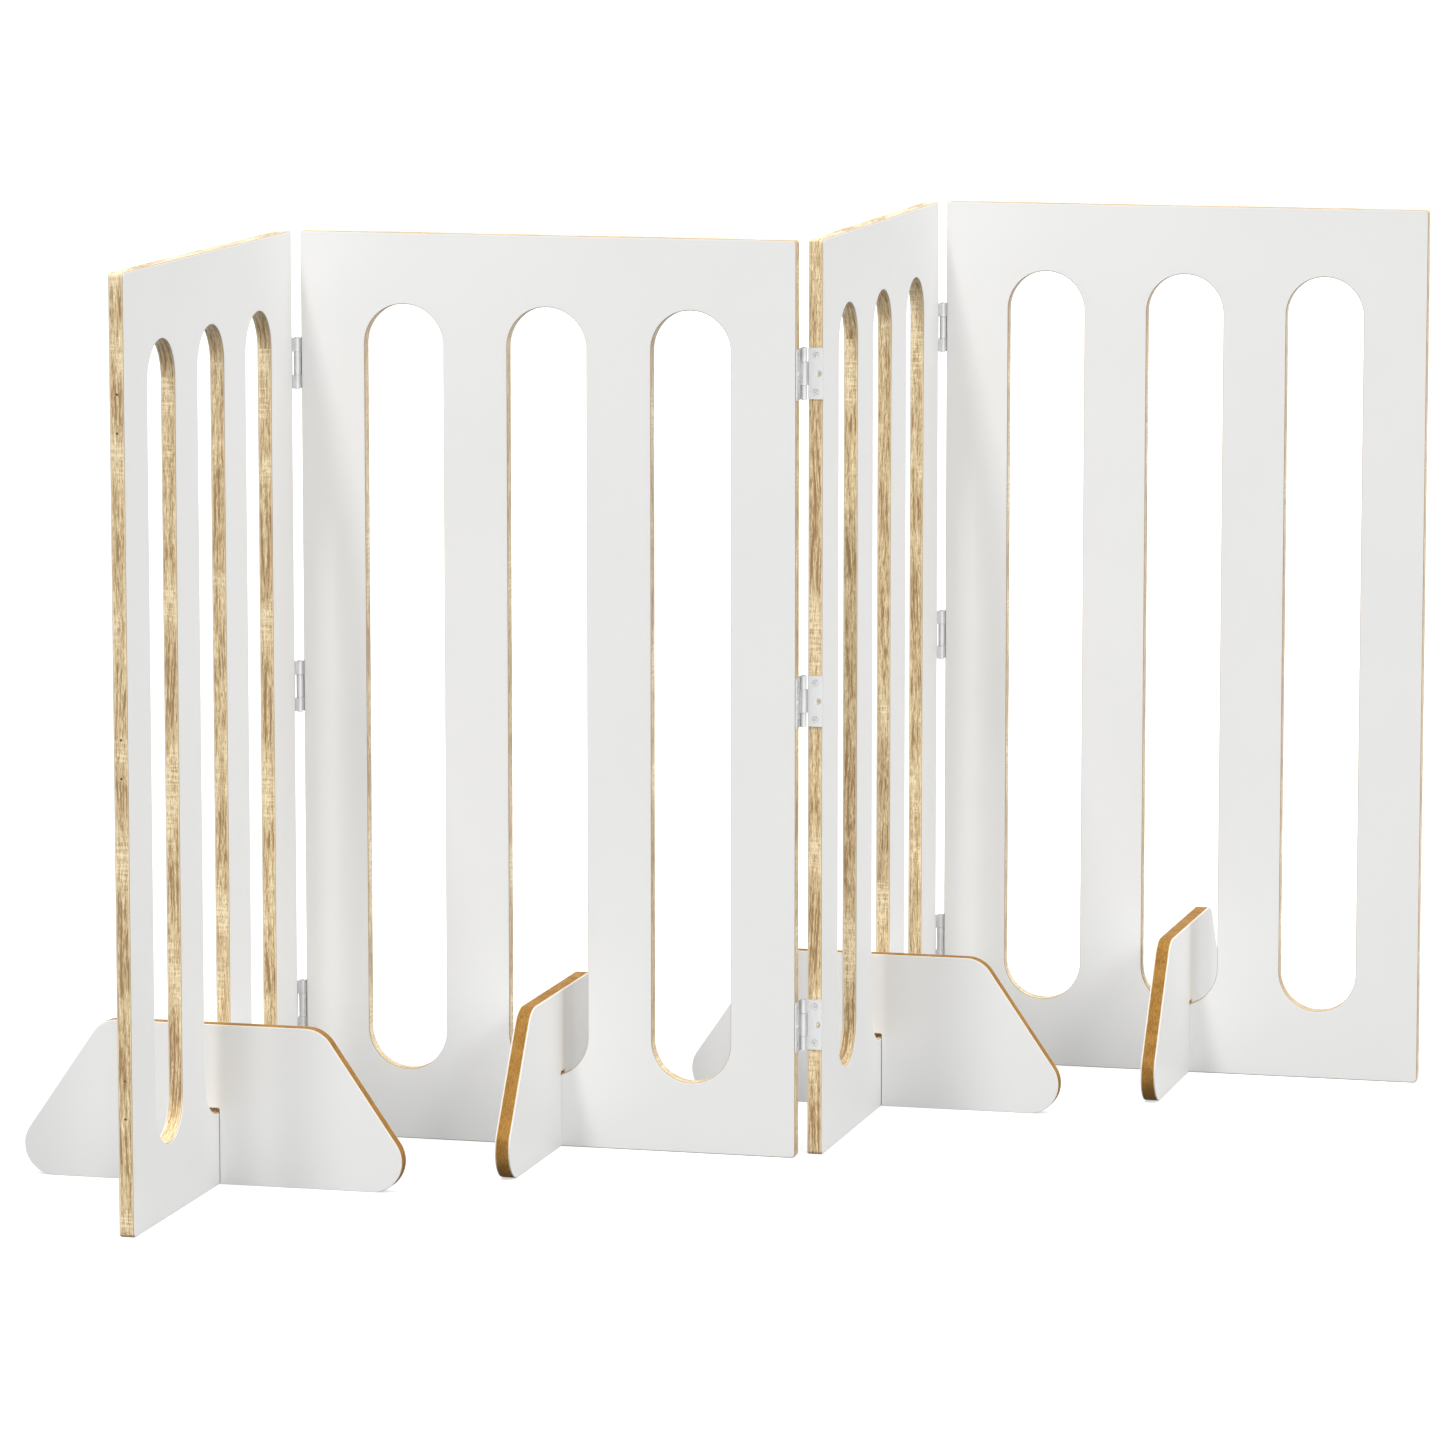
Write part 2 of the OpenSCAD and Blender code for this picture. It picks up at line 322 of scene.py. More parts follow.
def quarter(sign_x, sign_z, x, z, mid_x, mid_z, radius, side_open, end_open, steps):
    """One corner of a rectangular border, from its side's middle to its end's middle: up the
    side, round a corner of the radius, then along the end. Gives points, outward normals and
    which stretch each step belongs to (0 side, 1 corner, 2 end). A shared side has no normal."""
    n_side, n_arc, n_end = steps
    radius = radius if side_open and end_open else 0.0
    turn = np.linspace(0, math.pi / 2, n_arc + 1)[1:]
    hub = np.array([x - sign_x * radius, z - sign_z * radius])
    up_side = np.linspace(mid_z, hub[1], n_side + 1)
    along_end = np.linspace(hub[0], mid_x, n_end + 1)[1:]
    side = np.stack([np.full(n_side + 1, x), up_side], 1)
    bend = np.stack([sign_x * np.cos(turn), sign_z * np.sin(turn)], 1)
    arc = hub + radius * bend
    end = np.stack([along_end, np.full(n_end, z)], 1)
    out_side, out_end = np.array([sign_x, 0.0]), np.array([0.0, sign_z])
    if not (side_open and end_open):
        bend = np.tile(out_side if side_open else out_end * end_open, (n_arc, 1))
    side_normals = np.tile(out_side * side_open, (n_side + 1, 1))
    end_normals = np.tile(out_end * end_open, (n_end, 1))
    if not side_open and end_open:
        side_normals[-1] = out_end
    points = np.concatenate([side, arc, end])
    normals = np.concatenate([side_normals, bend, end_normals])
    stretch = np.repeat([0, 1, 2], steps)
    return points, normals, stretch


def way_round(outline):
    """How far along a closed outline each of its points lies, with its whole length last."""
    lap = np.linalg.norm(np.roll(outline, -1, 0) - outline, axis=1)
    return np.concatenate([[0], np.cumsum(lap)])


def cell(shell, x, z, mid_x, mids_z, hole_radius, border_rows, hole_rows, corner=0.0,
         left=True, right=True, bottom=True, top=True, steps=(12, 6, 12), uv_start=(0.0, 0.0)):
    """A rectangular plate with one slot or round hole, as a closed band carried round the
    hole. Columns run once round, each joining the border point to the hole point on the same
    ray from the slot's end centre. Rows run over the border's edge rows, across the back, up
    the hole's rows and across the front. Sides that a neighbour shares get no edge rows."""
    hubs, borders, outs, stretches = [], [], [], []
    for sign_x, sign_z, back in ((1, 1, 0), (-1, 1, 1), (-1, -1, 0), (1, -1, 1)):
        border_x, side_open = (x[1], right) if sign_x > 0 else (x[0], left)
        border_z, end_open, hub_z = (
            (z[1], top, mids_z[1]) if sign_z > 0 else (z[0], bottom, mids_z[0])
        )
        line, outward, stretch = quarter(
            sign_x, sign_z, border_x, border_z, mid_x, hub_z, corner, side_open, end_open, steps
        )
        is_open = np.array([side_open, side_open and end_open, end_open])
        step = -1 if back else 1
        borders.append(line[::step])
        outs.append(outward[::step])
        stretches.append(np.append(is_open[stretch][::step], side_open if back else end_open))
        hubs.append(np.tile([mid_x, hub_z], (len(line), 1)))
    hub, border, out = (np.concatenate(a) for a in (hubs, borders, outs))
    edge_open = np.concatenate(stretches)
    ray = border - hub
    ray = ray / np.linalg.norm(ray, axis=1)[:, None]
    hole = hub + hole_radius * ray
    rim = border[None] - border_rows[:, None, :1] * out[None]
    wall = hole[None] + hole_rows[:, None, :1] * ray[None]
    flat = np.concatenate([rim, wall])
    depth = np.concatenate([border_rows[:, 1], hole_rows[:, 1]])
    depth_grid = np.broadcast_to(depth[:, None], flat.shape[:2])
    points = np.stack([flat[..., 0], depth_grid, flat[..., 1]], 2)
    hole_u = way_round(hole)
    rim_u = np.append(border.sum(1), border[0].sum())
    u = np.concatenate([
        np.tile(rim_u + uv_start[0], (len(rim), 1)), np.tile(hole_u + uv_start[1], (len(wall), 1))
    ])
    v = np.broadcast_to(depth[:, None], u.shape)
    uv = np.stack([u, v], 2)
    uv = np.concatenate([uv, uv[:1]], 0)
    keep = np.ones((len(depth), len(border)), bool)
    keep[: len(rim) - 1] = edge_open
    shell.grid(points, uv, close_rows=True, close_columns=True, keep=keep)


def rounded_outline(points, radii, steps=20):
    """A closed outline with each corner rounded: the arc starts and ends radius x tan(half
    the turn) from the corner, and its normal turns evenly from one side's to the next's."""
    points, radii = np.array(points, float), np.array(radii, float)[:, None]
    before = points - np.roll(points, 1, 0)
    before /= np.linalg.norm(before, axis=1)[:, None]
    after = np.roll(before, -1, 0)
    turn = np.arctan2(
        before[:, 0] * after[:, 1] - before[:, 1] * after[:, 0], (before * after).sum(1)
    )[:, None]
    out = np.stack([before[:, 1], -before[:, 0]], 1)
    start = points - before * radii * np.tan(np.abs(turn) / 2)
    hub = start - np.sign(turn) * out * radii
    angle = turn * np.linspace(0, 1, steps + 1)[None]
    c, s = np.cos(angle), np.sin(angle)
    normal = np.stack(
        [out[:, :1] * c - out[:, 1:] * s, out[:, :1] * s + out[:, 1:] * c], 2
    )
    arc = hub[:, None] + (np.sign(turn) * radii)[:, None] * normal
    return arc.reshape(-1, 2), normal.reshape(-1, 2)


def outline_normals(points):
    """Outward normals of a closed outline: across the line from each point's neighbour on one
    side to its neighbour on the other, turned away from the inside."""
    step = np.roll(points, -1, 0) - np.roll(points, 1, 0)
    normal = np.stack([step[:, 1], -step[:, 0]], 1)
    normal /= np.linalg.norm(normal, axis=1)[:, None]
    ahead = np.roll(points, -1, 0)
    area = (points[:, 0] * ahead[:, 1] - points[:, 1] * ahead[:, 0]).sum()
    return normal * np.sign(area)


def carried_outline(shell, outline, normals, rows, order, uv_start=0.0):
    """A solid of one outline: each row is the outline drawn back by the row's inset and set
    at the row's depth, with a flat cap on the first and last. order places the two outline
    numbers and the depth in (across, depth, height)."""
    flat = outline[None] - rows[:, None, :1] * normals[None]
    depth = np.broadcast_to(rows[:, 1:2], flat.shape[:2])
    points = np.stack([flat[..., 0], flat[..., 1], depth], 2)[..., order]
    u = np.tile(way_round(outline), (len(rows), 1)) + uv_start
    uv = np.stack([u, np.broadcast_to(rows[:, 1:2], u.shape)], 2)
    shell.grid(points, uv, close_columns=True)
    shell.cap(points[0][::-1], flat[0][::-1])
    shell.cap(points[-1], flat[-1])


def difference(mesh, tool):
    """A new mesh: the first solid less the second."""
    parts = [bpy.data.objects.new(n, m) for n, m in (("solid", mesh), ("tool", tool))]
    for part in parts:
        bpy.context.scene.collection.objects.link(part)
    cut = parts[0].modifiers.new("cut", "BOOLEAN")
    cut.object, cut.operation, cut.solver = parts[1], "DIFFERENCE", "EXACT"
    bpy.context.view_layer.update()
    solid = parts[0].evaluated_get(bpy.context.evaluated_depsgraph_get())
    made = bpy.data.meshes.new_from_object(solid)
    for part in parts:
        bpy.data.objects.remove(part)
    return made


def revolve(shell, profile, turns=32):
    """A solid of revolution about the depth axis: (radius x cos, depth, radius x sin)."""
    angle = np.linspace(0, 2 * math.pi, turns, endpoint=False)
    r, depth = profile[:, :1], profile[:, 1:2]
    points = np.stack(
        [r * np.cos(angle), np.broadcast_to(depth, (len(profile), turns)), r * np.sin(angle)], 2
    )
    lap = np.concatenate([[0], np.cumsum(np.linalg.norm(np.diff(profile, axis=0), axis=1))])
    u = np.linspace(0, 2 * math.pi, turns + 1) * profile[:, 0].max()
    uv = np.stack(np.broadcast_arrays(u[None], lap[:, None]), 2)
    shell.grid(points, uv, close_columns=True)


# ---- shader groups and finishes --------------------------------------------------------


def add_node(tree, kind, **values):
    """A node with its settings (lower case) and its input sockets' values (by number, _0)."""
    node = tree.nodes.new(kind)
    for key, value in values.items():
        if key[0] == "_":
            node.inputs[int(key[1:])].default_value = value
        else:
            setattr(node, key, value)
    return node


def math_node(tree, operation, a, b=0.0):
    """The result of a sum on sockets or numbers."""
    node = add_node(tree, "ShaderNodeMath", operation=operation)
    for k, value in enumerate((a, b)):
        if isinstance(value, bpy.types.NodeSocket):
            tree.links.new(value, node.inputs[k])
        else:
            node.inputs[k].default_value = value
    return node.outputs[0]


def ramp(tree, value, low, high, to_low=0.0, to_high=1.0):
    """A value eased from to_low at low to to_high at high."""
    node = add_node(
        tree, "ShaderNodeMapRange", interpolation_type="SMOOTHSTEP",
        _1=low, _2=high, _3=to_low, _4=to_high,
    )
    tree.links.new(value, node.inputs[0])
    return node.outputs[0]


def mix(tree, factor, a, b):
    """A colour between two, by a socket or number."""
    node = add_node(tree, "ShaderNodeMix", data_type="RGBA")
    for k, value in ((0, factor), (6, a), (7, b)):
        if isinstance(value, bpy.types.NodeSocket):
            tree.links.new(value, node.inputs[k])
        else:
            node.inputs[k].default_value = value if k == 0 else (*value, 1.0)
    return node.outputs[2]


def weighted(tree, *terms):
    """The sum of sockets, each times its weight."""
    total = 0.0
    for socket, weight in terms:
        total = math_node(tree, "ADD", total, math_node(tree, "MULTIPLY", socket, weight))
    return total


def two_tone(tree, factor, base, share):
    """A colour that goes from a share of its base to all of it."""
    return mix(tree, factor, tuple(share * c for c in base), base)


def swayed(tree, value, pattern, reach):
    """A value shifted by a 0 to 1 pattern, by up to half the reach either way."""
    shift = math_node(tree, "MULTIPLY", math_node(tree, "SUBTRACT", pattern, 0.5), reach)
    return math_node(tree, "ADD", value, shift)


def flat_vector(tree, x, y):
    """A vector of two sockets, with a third part of 0."""
    node = add_node(tree, "ShaderNodeCombineXYZ")
    tree.links.new(x, node.inputs[0])
    tree.links.new(y, node.inputs[1])
    return node.outputs[0]


def noise(tree, vector, scale, detail=2.0, roughness=0.5):
    """A noise pattern between 0 and 1."""
    node = add_node(tree, "ShaderNodeTexNoise", _2=scale, _3=detail, _4=roughness)
    tree.links.new(vector, node.inputs["Vector"])
    return node.outputs[0]


def stretched(tree, vector, scale):
    """A pattern's coordinates, drawn out by a scale for each direction."""
    node = add_node(tree, "ShaderNodeMapping", vector_type="POINT")
    node.inputs["Scale"].default_value = scale
    tree.links.new(vector, node.inputs["Vector"])
    return node.outputs[0]


def new_group(name, inputs, outputs):
    """An empty shader group with its sockets: (group, input node, output node)."""
    group = bpy.data.node_groups.new(name, "ShaderNodeTree")
    for label, kind, value in inputs:
        socket = group.interface.new_socket(label, in_out="INPUT", socket_type=kind)
        if value is not None:
            socket.default_value = value
    for label, kind in outputs:
        group.interface.new_socket(label, in_out="OUTPUT", socket_type=kind)
    return group, group.nodes.new("NodeGroupInput"), group.nodes.new("NodeGroupOutput")


def fine_mottle():
    """Two soft noises, each over its own given scale: Patch the wider, Grain the finer."""
    group, given, out = new_group(
        "Fine mottle",
        [("Vector", "NodeSocketVector", None), ("Patch scale", "NodeSocketFloat", 30.0),
         ("Grain scale", "NodeSocketFloat", 1200.0)],
        [("Patch", "NodeSocketFloat"), ("Grain", "NodeSocketFloat")],
    )
    for socket, label, detail in ((1, "Patch", 3.0), (2, "Grain", 2.0)):
        pattern = add_node(group, "ShaderNodeTexNoise", _3=detail)
        group.links.new(given.outputs[0], pattern.inputs["Vector"])
        group.links.new(given.outputs[socket], pattern.inputs["Scale"])
        group.links.new(pattern.outputs[0], out.inputs[label])
    return group


def edge_lines():
    """Masks across a board's edge: Border is 1 in a pale line beside each skin, Rim is 1 in a
    thin dark line outside it. Depth is measured from the nearer face."""
    group, given, out = new_group(
        "Edge lines",
        [("Edge", "NodeSocketVector", None), ("Thickness", "NodeSocketFloat", 0.015),
         ("Border", "NodeSocketFloat", 1.6 * MM), ("Softness", "NodeSocketFloat", 0.3 * MM)],
        [("Border", "NodeSocketFloat"), ("Rim", "NodeSocketFloat")],
    )
    parts = add_node(group, "ShaderNodeSeparateXYZ")
    group.links.new(given.outputs["Edge"], parts.inputs[0])
    far = math_node(group, "SUBTRACT", given.outputs["Thickness"], parts.outputs[1])
    near = math_node(group, "MINIMUM", parts.outputs[1], far)
    wave = add_node(group, "ShaderNodeTexNoise", _2=45.0)
    group.links.new(given.outputs["Edge"], wave.inputs["Vector"])
    wavy = swayed(group, near, wave.outputs[0], 0.6 * MM)
    inner = math_node(group, "ADD", given.outputs["Border"], given.outputs["Softness"])
    pale = add_node(group, "ShaderNodeMapRange", interpolation_type="SMOOTHSTEP", _3=1.0, _4=0.0)
    group.links.new(wavy, pale.inputs[0])
    group.links.new(given.outputs["Border"], pale.inputs[1])
    group.links.new(inner, pale.inputs[2])
    group.links.new(pale.outputs[0], out.inputs["Border"])
    group.links.new(ramp(group, near, 0.85 * MM, 1.25 * MM, 1.0, 0.0), out.inputs["Rim"])
    return group


def fibre_streaks():
    """Grain along the edge. Streak is broad bands, Fine is thin lines, Pore is short dark
    dashes, each noise drawn out along the edge's length. Ring is growth lines: a sine of the
    depth, bent by slow noise. Saw is short marks straight across."""
    group, given, out = new_group(
        "Fibre streaks",
        [("Edge", "NodeSocketVector", None), ("Length", "NodeSocketFloat", 1.0)],
        [(label, "NodeSocketFloat") for label in ("Streak", "Fine", "Pore", "Ring", "Saw")],
    )
    parts = add_node(group, "ShaderNodeSeparateXYZ")
    group.links.new(given.outputs["Edge"], parts.inputs[0])
    along = math_node(group, "DIVIDE", parts.outputs[0], given.outputs["Length"])
    straight = flat_vector(group, along, parts.outputs[1])
    bend = noise(group, stretched(group, straight, (14, 60, 1)), 1.0, 2.0)
    wavy = flat_vector(group, along, swayed(group, parts.outputs[1], bend, 6.0 * MM))
    streak = noise(group, stretched(group, wavy, (16, 260, 1)), 1.0, 3.0, 0.6)
    fine = noise(group, stretched(group, wavy, (75, 900, 1)), 1.0, 3.0, 0.65)
    dashes = noise(group, stretched(group, wavy, (190, 1300, 1)), 1.0, 1.0)
    slow = noise(group, stretched(group, straight, (5, 45, 1)), 1.0, 1.0)
    ring = math_node(group, "SINE", weighted(group, (parts.outputs[1], 1500.0), (slow, 34.0)))
    saw = noise(group, stretched(group, straight, (420, 35, 1)), 1.0, 2.0, 0.6)
    for label, value, low, high in (
        ("Streak", streak, 0.34, 0.66), ("Fine", fine, 0.36, 0.64), ("Pore", dashes, 0.54, 0.66),
        ("Ring", ring, -0.2, 1.0), ("Saw", saw, 0.40, 0.64),
    ):
        group.links.new(ramp(group, value, low, high), out.inputs[label])
    return group


def use_group(tree, maker, links, **values):
    """Places a shared group, built once, with its own links and values."""
    name = maker.__name__.replace("_", " ").capitalize()
    node = add_node(tree, "ShaderNodeGroup", node_tree=bpy.data.node_groups.get(name) or maker())
    for label, socket in links.items():
        tree.links.new(socket, node.inputs[label])
    for label, value in values.items():
        node.inputs[label.replace("_", " ").capitalize()].default_value = value
    return node


def new_finish(name, coordinates, **shader_values):
    """A material with a plain shader: (tree, shader, coordinate socket)."""
    material = bpy.data.materials.new(name)
    material.use_nodes = True
    tree = material.node_tree
    shader = tree.nodes["Principled BSDF"]
    for label, value in shader_values.items():
        shader.inputs[label.replace("_", " ")].default_value = value
    if coordinates == "Edge":
        where = add_node(tree, "ShaderNodeUVMap", uv_map="Edge").outputs[0]
    else:
        where = add_node(tree, "ShaderNodeTexCoord").outputs["Object"]
    return tree, shader, where


def bumped(tree, shader, height, strength, distance):
    """Raises the surface by a height pattern."""
    bump = add_node(tree, "ShaderNodeBump", _0=strength, _1=distance)
    tree.links.new(height, bump.inputs["Height"])
    tree.links.new(bump.outputs[0], shader.inputs["Normal"])


def finish_material(name):
    """A finish by name, built the first time it is asked for."""
    found = bpy.data.materials.get(name)
    if not found:
        FINISHES[name](name, bpy.context.scene.gate_colours)
        found = bpy.data.materials[name]
    return found


def white_skin(name, hues):
    """Melamine skin: near-white, a faint orange-peel surface and slightly uneven sheen."""
    tree, shader, where = new_finish(name, "Object", Roughness=0.5)
    shader.inputs["IOR"].default_value = 1.48
    mottle = use_group(tree, fine_mottle, {"Vector": where}, patch_scale=7.0, grain_scale=620.0)
    tone = two_tone(tree, ramp(tree, mottle.outputs["Patch"], 0.35, 0.65), hues.skin, 0.985)
    tree.links.new(tone, shader.inputs["Base Color"])
    sheen = ramp(tree, mottle.outputs["Patch"], 0.3, 0.7, 0.46, 0.56)
    tree.links.new(sheen, shader.inputs["Roughness"])
    bumped(tree, shader, mottle.outputs["Grain"], 0.12, 0.2 * MM)


def oak_edge(name, hues):
    """Oak-grain edge band: streaks, growth lines and pores along the board, patches of saw
    marks across it, pale lines beside the skins and a thin dark rim."""
    tree, shader, where = new_finish(name, "Edge", Roughness=0.5)
    fibres = use_group(tree, fibre_streaks, {"Edge": where})
    lines = use_group(tree, edge_lines, {"Edge": where}, border=1.6 * MM, softness=0.6 * MM)
    kinds = noise(tree, stretched(tree, where, (11, 20, 1)), 1.0, 2.0)
    sawn = math_node(tree, "MULTIPLY", fibres.outputs["Saw"], ramp(tree, kinds, 0.52, 0.62))
    ringed = math_node(tree, "MULTIPLY", fibres.outputs["Ring"], ramp(tree, kinds, 0.50, 0.40))
    grain = weighted(
        tree, (fibres.outputs["Streak"], 0.42), (fibres.outputs["Fine"], 0.58),
        (sawn, 0.45), (ringed, -0.5), (kinds, 0.55),
    )
    tone = mix(tree, ramp(tree, grain, 0.28, 0.84), hues.oak_dark, hues.oak)
    bright = mix(tree, ramp(tree, grain, 0.78, 1.28), tone, hues.oak_border)
    pores = math_node(tree, "MULTIPLY", fibres.outputs["Pore"], 0.6)
    pored = mix(tree, pores, bright, hues.oak_dark)
    pale = math_node(tree, "MULTIPLY", lines.outputs["Border"], 0.5)
    edged = mix(tree, pale, pored, hues.oak_border)
    rim = math_node(tree, "MULTIPLY", lines.outputs["Rim"], 0.9)
    tree.links.new(mix(tree, rim, edged, hues.oak_dark), shader.inputs["Base Color"])
    tree.links.new(ramp(tree, grain, 0.5, 1.2, 0.46, 0.34), shader.inputs["Roughness"])
    height = math_node(tree, "SUBTRACT", grain, fibres.outputs["Pore"])
    bumped(tree, shader, height, 0.25, 0.2 * MM)


def fibre_edge(name, hues):
    """Bare fibreboard edge of a foot: warm brown felted fibres, with pale lines where the
    skins' cut edges show."""
    tree, shader, where = new_finish(name, "Edge", Roughness=0.75, Specular_IOR_Level=0.25)
    fibres = use_group(tree, fibre_streaks, {"Edge": where}, length=0.35)
    lines = use_group(tree, edge_lines, {"Edge": where}, border=1.3 * MM, softness=0.3 * MM)
    mottle = use_group(tree, fine_mottle, {"Vector": where}, patch_scale=55.0, grain_scale=1700.0)
    grain = weighted(
        tree, (fibres.outputs["Fine"], 0.35), (mottle.outputs["Patch"], 0.75),
        (mottle.outputs["Grain"], 0.25),
    )
    tone = mix(tree, ramp(tree, grain, 0.35, 0.95), hues.fibre_dark, hues.fibre)
    pale = math_node(tree, "MULTIPLY", lines.outputs["Border"], 0.85)
    edged = mix(tree, pale, tone, hues.fibre_border)
    tree.links.new(edged, shader.inputs["Base Color"])
    tree.links.new(ramp(tree, grain, 0.3, 1.0, 0.85, 0.65), shader.inputs["Roughness"])
    bumped(tree, shader, grain, 0.4, 0.4 * MM)


def plated(name, base, patch_scale, rough_low, rough_high, darkest):
    """Bright plated metal: a patchy, lightly scuffed surface over one base colour."""
    tree, shader, where = new_finish(name, "Object", Metallic=1.0)
    mottle = use_group(
        tree, fine_mottle, {"Vector": where}, patch_scale=patch_scale, grain_scale=2600.0
    )
    tone = two_tone(tree, ramp(tree, mottle.outputs["Patch"], 0.35, 0.65), base, darkest)
    tree.links.new(tone, shader.inputs["Base Color"])
    rough = ramp(tree, mottle.outputs["Patch"], 0.3, 0.7, rough_low, rough_high)
    tree.links.new(rough, shader.inputs["Roughness"])
    bumped(tree, shader, mottle.outputs["Grain"], 0.15, 0.1 * MM)


def pale_floor(name, hues):
    """Matt pale floor with a barely uneven tone. It throws back less light than it shows, so
    that the undersides stay dark, and its own glow hides all but the deepest shade."""
    tree, shader, where = new_finish(name, "Object", Roughness=0.9, Emission_Strength=0.42)
    shader.inputs["Emission Color"].default_value = (1, 1, 1, 1)
    mottle = use_group(tree, fine_mottle, {"Vector": where}, patch_scale=0.8, grain_scale=90.0)
    tone = two_tone(tree, mottle.outputs["Patch"], hues.floor, 0.985)
    tree.links.new(tone, shader.inputs["Base Color"])
    dim = add_node(tree, "ShaderNodeBsdfDiffuse", _0=(FLOOR_BOUNCE,) * 3 + (1.0,))
    either = add_node(tree, "ShaderNodeMixShader")
    path = add_node(tree, "ShaderNodeLightPath")
    tree.links.new(path.outputs["Is Diffuse Ray"], either.inputs[0])
    tree.links.new(shader.outputs[0], either.inputs[1])
    tree.links.new(dim.outputs[0], either.inputs[2])
    tree.links.new(either.outputs[0], tree.nodes["Material Output"].inputs["Surface"])


FINISHES = {
    "white_skin": white_skin,
    "oak_edge": oak_edge,
    "fibre_edge": fibre_edge,
    "zinc_leaf": lambda name, hues: plated(name, hues.zinc, 160.0, 0.42, 0.55, 0.93),
    "bright_pin": lambda name, hues: plated(name, hues.steel, 240.0, 0.22, 0.32, 0.9),
    "plated_screw": lambda name, hues: plated(name, hues.screw, 300.0, 0.18, 0.30, 0.8),
    "pale_floor": pale_floor,
}


# ---- pieces ---------------------------------------------------------------------------


def panel_shell(place, board, low, high, rounding_radius, inset, uv_start, sizes):
    """A panel's board or skin between two depths: three cells side by side, each a slot in
    its share of the width, closed into one body where they meet."""
    width, height = place.reach(board, 0)[1], place.reach(board, 2)[1]
    slot = sizes.slot_width
    upright = (width - 3 * slot) / 4
    cuts = [0.0, 1.5 * upright + slot, 2.5 * upright + 2 * slot, width]
    rows = wall_rows(low, high, rounding_radius, EDGE_SUPPORT, inset)
    ends = (sizes.rail_height + slot / 2, height - sizes.rail_height - slot / 2)
    shell = Shell()
    for k in range(3):
        cell(
            shell, cuts[k : k + 2], (0.0, height), upright * (k + 1) + slot * (k + 0.5), ends,
            slot / 2, rows, rows[::-1], corner=sizes.corner_radius, left=k == 0, right=k == 2,
            uv_start=(uv_start, uv_start + SLOT_GRAIN_START + SLOT_GRAIN_STEP * k),
        )
    return shell.copies([place])


def cut_pilot_holes(mesh, board, place, across, sizes):
    """The board with its unused screw holes bored into one end. The drill is a revolved
    profile with a pointed end, set down at each hole's height."""
    r, deep, start = sizes.pilot_diameter / 2, sizes.pilot_depth, -2.0 * MM
    drill = Shell()
    revolve(drill, np.array([[0, start], [r, start], [r, deep], [0, deep + 0.6 * r]]))
    inward = place.axes[0] if across == 0 else -place.axes[0]
    mid_depth = sum(place.reach(board, 1)) / 2
    places = [
        Place(place.points(np.array([across, mid_depth, z])), place.axes[1], inward)
        for z in screw_heights(sizes)
    ]
    bored = difference(mesh, drill.copies(places).mesh("drill"))
    bored.shade_smooth()
    bored.set_sharp_from_angle(angle=SHARP_EDGE)
    return bored


def screw_heights(sizes):
    """Heights of the six screws along an edge, from the middles of fold 12's pins."""
    middles = np.array([centre(f"hinge_12_{level}_pin")[2] for level in LEVELS])
    return (middles[:, None] + sizes.screw_spacing / 2 * np.array([-1, 1])).ravel()


class GATE_OT_panels(bpy.types.Operator):
    """Build the four slotted panels: an oak-edged board between two white skins"""

    bl_idname = "gate.panels"
    bl_label = "Panels"

    def execute(self, context):
        sizes = context.scene.gate_sizes
        for i in PANELS:
            board = f"panel_{i}_board"
            front, back = f"panel_{i}_front_laminate", f"panel_{i}_back_laminate"
            place = slab_place(front, board)
            low, high = place.reach(board, 1)
            shell = panel_shell(
                place, board, low, high, sizes.edge_rounding, 0.0, PANEL_GRAIN_STEP * i, sizes
            )
            mesh = shell.mesh(board)
            free_end = {1: 0.0, 4: place.reach(board, 0)[1]}.get(i)
            if free_end is not None:
                mesh = cut_pilot_holes(mesh, board, place, free_end, sizes)
            place_piece(
                mesh, f"panel_{i}_edged_board", finish_material("oak_edge"), f"panel_{i}",
                "oak_edge_board", board,
            )
            for side, skin in (("front", front), ("back", back)):
                shell = panel_shell(
                    place, board, *place.reach(skin, 1), sizes.skin_rounding, sizes.skin_inset,
                    0.0, sizes,
                )
                place_piece(
                    shell, f"panel_{i}_{side}_skin", finish_material("white_skin"),
                    f"panel_{i}", "panel_laminate", skin,
                )
        return {"FINISHED"}


def foot_outline(length, height, panel_thickness, sizes):
    """A foot seen square to its face: a trapezium whose four corners have one radius, with a
    notch for the rail. Its lower corners lie where the length and the sloped ends put them."""
    r = sizes.foot_radius
    low = length / 2 - r + r * math.tan((math.pi - FOOT_SLOPE) / 2)
    high = low - height / math.tan(FOOT_SLOPE)
    half, notch = panel_thickness / 2 + sizes.notch_play, sizes.notch_height
    points = [
        (-low, 0), (-half, 0), (-half, notch), (half, notch),
        (half, 0), (low, 0), (high, height), (-high, height),
    ]
    notch_radii = [NOTCH_MOUTH, NOTCH_ROOT, NOTCH_ROOT, NOTCH_MOUTH]
    return rounded_outline(points, [r, *notch_radii, r, r, r])


